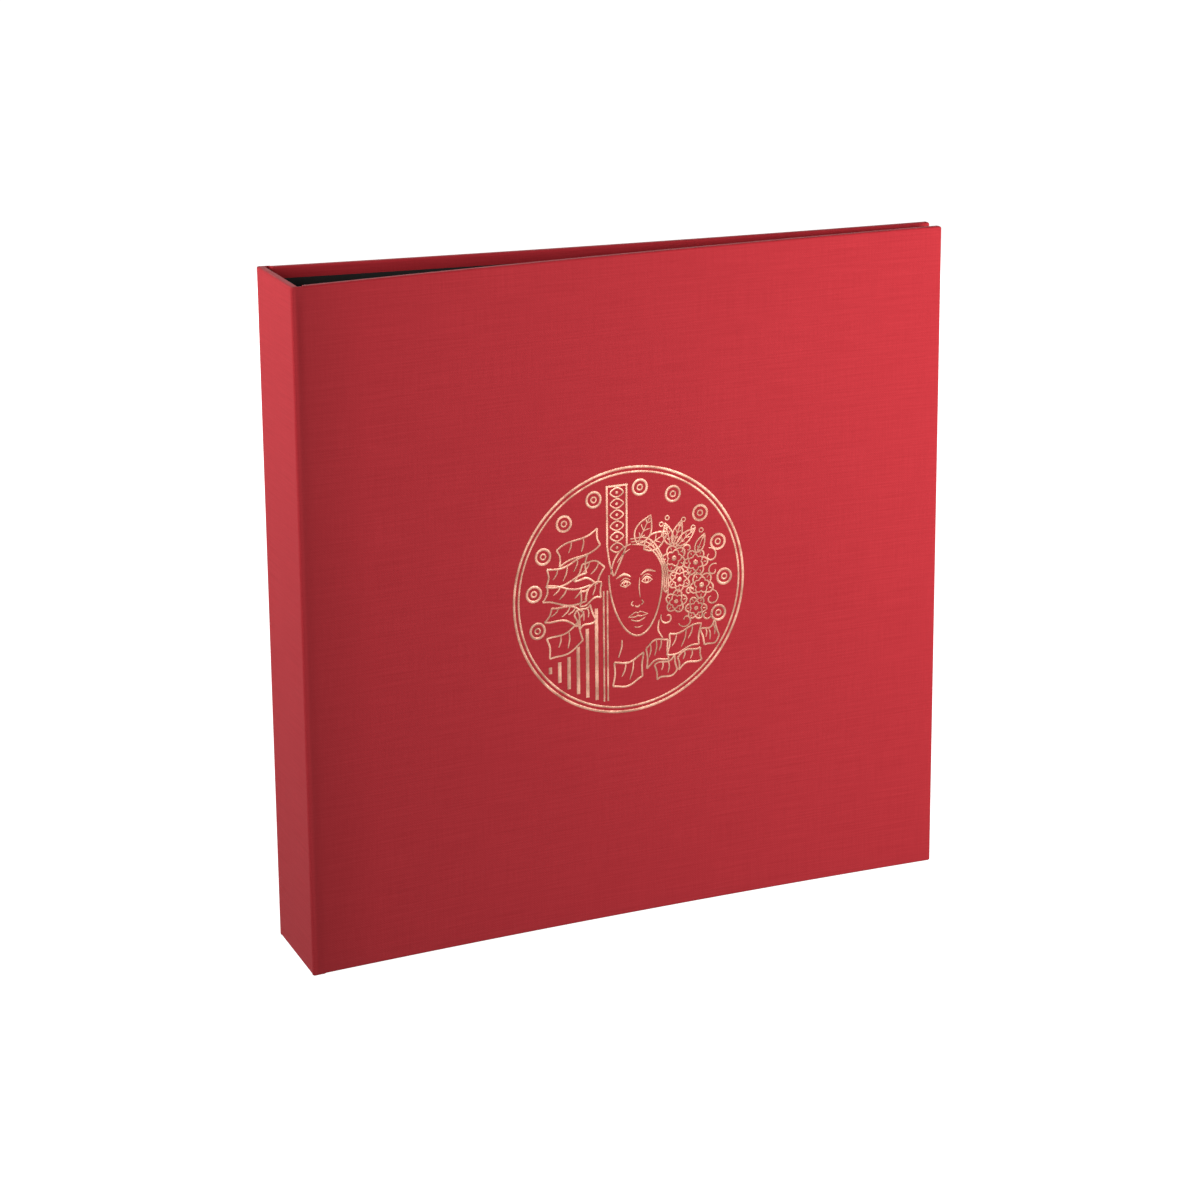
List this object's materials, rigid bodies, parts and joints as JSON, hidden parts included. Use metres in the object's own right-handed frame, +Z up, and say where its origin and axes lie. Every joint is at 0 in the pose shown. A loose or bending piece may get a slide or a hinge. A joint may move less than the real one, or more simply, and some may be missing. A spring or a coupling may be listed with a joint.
{
  "type": "stamp and coin album",
  "caption": "Cloth-bound ring album for coins or stamps: hinged boards, a snap-ring mechanism on the spine, clear pocket leaves and black interleaves.",
  "frame": {"origin": "under the middle of the album's box, on the surface that it stands on, closed and upright", "axes": "+X from the spine to the fore-edge, +Y from the front cover to the back cover, +Z up along the spine"},
  "size_m": [0.2496, 0.042, 0.245],
  "materials": {
    "book_cloth": "red linen-weave book cloth, slight sheen",
    "greyboard": "uncoated grey board",
    "lining_paper": "matt black endpaper",
    "nickel_plate": "nickel-plated steel, bright",
    "spring_steel": "plain spring steel",
    "clear_film": "clear soft film with welded seams",
    "black_card": "matt black card",
    "gold_foil": "hot-stamped rose-gold foil"
  },
  "bodies": {
    "spine": {"spine_board": "greyboard", "spine_cloth": "book_cloth", "spine_lining": "lining_paper", "ring_housing": "nickel_plate", "lower_rivet": "nickel_plate", "upper_rivet": "nickel_plate", "top_lever_pin": "spring_steel", "bottom_lever_pin": "spring_steel"},
    "front_cover": {"front_board": "greyboard", "front_cover_cloth": "book_cloth", "front_lining": "lining_paper", "front_joint_cloth": "book_cloth", "front_joint_lining": "lining_paper"},
    "back_cover": {"back_board": "greyboard", "back_cover_cloth": "book_cloth", "back_lining": "lining_paper", "back_joint_cloth": "book_cloth", "back_joint_lining": "lining_paper"},
    "front_rings": {"front_blade": "spring_steel", "front_half_ring_1": "nickel_plate", "front_half_ring_2": "nickel_plate", "front_half_ring_3": "nickel_plate", "front_half_ring_4": "nickel_plate"},
    "back_rings": {"back_blade": "spring_steel", "back_half_ring_1": "nickel_plate", "back_half_ring_2": "nickel_plate", "back_half_ring_3": "nickel_plate", "back_half_ring_4": "nickel_plate"},
    "top_lever": {"top_lever": "nickel_plate"},
    "bottom_lever": {"bottom_lever": "nickel_plate"},
    "pocket_leaf_1": {"pocket_leaf_1": "clear_film"},
    "interleaf_1": {"interleaf_1": "black_card"},
    "pocket_leaf_2": {"pocket_leaf_2": "clear_film"},
    "interleaf_2": {"interleaf_2": "black_card"},
    "pocket_leaf_3": {"pocket_leaf_3": "clear_film"},
    "interleaf_3": {"interleaf_3": "black_card"},
    "pocket_leaf_4": {"pocket_leaf_4": "clear_film"},
    "interleaf_4": {"interleaf_4": "black_card"},
    "pocket_leaf_5": {"pocket_leaf_5": "clear_film"}
  },
  "joints": [
    {"name": "front_cover_hinge", "type": "hinge", "parent": "spine", "child": "front_cover", "pos_m": [-0.12478, -0.021, 0], "axis": [0, 0, -1], "range_deg": [0, 180]},
    {"name": "back_cover_hinge", "type": "hinge", "parent": "spine", "child": "back_cover", "pos_m": [-0.12478, 0.021, 0], "axis": [0, 0, 1], "range_deg": [0, 180]},
    {"name": "front_rings_open", "type": "hinge", "parent": "spine", "child": "front_rings", "pos_m": [-0.11933, -0.0083, 0.1225], "axis": [0, 0, -1], "range_deg": [0, 11]},
    {"name": "back_rings_open", "type": "hinge", "parent": "spine", "child": "back_rings", "pos_m": [-0.11933, 0.0083, 0.1225], "axis": [0, 0, 1], "range_deg": [0, 11]},
    {"name": "top_lever_press", "type": "hinge", "parent": "spine", "child": "top_lever", "pos_m": [-0.11958, 0, 0.219], "axis": [0, -1, 0], "range_deg": [0, 15]},
    {"name": "bottom_lever_press", "type": "hinge", "parent": "spine", "child": "bottom_lever", "pos_m": [-0.11958, 0, 0.026], "axis": [0, 1, 0], "range_deg": [0, 15]},
    {"name": "pocket_leaf_1_turn", "type": "hinge", "parent": "spine", "child": "pocket_leaf_1", "pos_m": [-0.10538, 0, 0.1225], "axis": [0, 0, -1], "range_deg": [0, 95]},
    {"name": "interleaf_1_turn", "type": "hinge", "parent": "spine", "child": "interleaf_1", "pos_m": [-0.10538, 0, 0.1225], "axis": [0, 0, -1], "range_deg": [0, 95]},
    {"name": "pocket_leaf_2_turn", "type": "hinge", "parent": "spine", "child": "pocket_leaf_2", "pos_m": [-0.10538, 0, 0.1225], "axis": [0, 0, -1], "range_deg": [0, 95]},
    {"name": "interleaf_2_turn", "type": "hinge", "parent": "spine", "child": "interleaf_2", "pos_m": [-0.10538, 0, 0.1225], "axis": [0, 0, -1], "range_deg": [0, 95]},
    {"name": "pocket_leaf_3_turn", "type": "hinge", "parent": "spine", "child": "pocket_leaf_3", "pos_m": [-0.10538, 0, 0.1225], "axis": [0, 0, -1], "range_deg": [0, 95]},
    {"name": "interleaf_3_turn", "type": "hinge", "parent": "spine", "child": "interleaf_3", "pos_m": [-0.10538, 0, 0.1225], "axis": [0, 0, 1], "range_deg": [0, 95]},
    {"name": "pocket_leaf_4_turn", "type": "hinge", "parent": "spine", "child": "pocket_leaf_4", "pos_m": [-0.10538, 0, 0.1225], "axis": [0, 0, 1], "range_deg": [0, 95]},
    {"name": "interleaf_4_turn", "type": "hinge", "parent": "spine", "child": "interleaf_4", "pos_m": [-0.10538, 0, 0.1225], "axis": [0, 0, 1], "range_deg": [0, 95]},
    {"name": "pocket_leaf_5_turn", "type": "hinge", "parent": "spine", "child": "pocket_leaf_5", "pos_m": [-0.10538, 0, 0.1225], "axis": [0, 0, 1], "range_deg": [0, 95]}
  ],
  "couplings": [
    {"joint": "back_rings_open", "follows": "front_rings_open", "ratio": 1},
    {"joint": "top_lever_press", "follows": "front_rings_open", "ratio": 1.3333},
    {"joint": "bottom_lever_press", "follows": "front_rings_open", "ratio": 1.3333},
    {"joint": "pocket_leaf_1_turn", "follows": "front_cover_hinge", "ratio": 0.5},
    {"joint": "interleaf_1_turn", "follows": "front_cover_hinge", "ratio": 0.46},
    {"joint": "pocket_leaf_2_turn", "follows": "front_cover_hinge", "ratio": 0.32},
    {"joint": "interleaf_2_turn", "follows": "front_cover_hinge", "ratio": 0.28},
    {"joint": "pocket_leaf_3_turn", "follows": "front_cover_hinge", "ratio": 0.14},
    {"joint": "interleaf_3_turn", "follows": "back_cover_hinge", "ratio": 0.26},
    {"joint": "pocket_leaf_4_turn", "follows": "back_cover_hinge", "ratio": 0.32},
    {"joint": "interleaf_4_turn", "follows": "back_cover_hinge", "ratio": 0.44},
    {"joint": "pocket_leaf_5_turn", "follows": "back_cover_hinge", "ratio": 0.5}
  ]
}
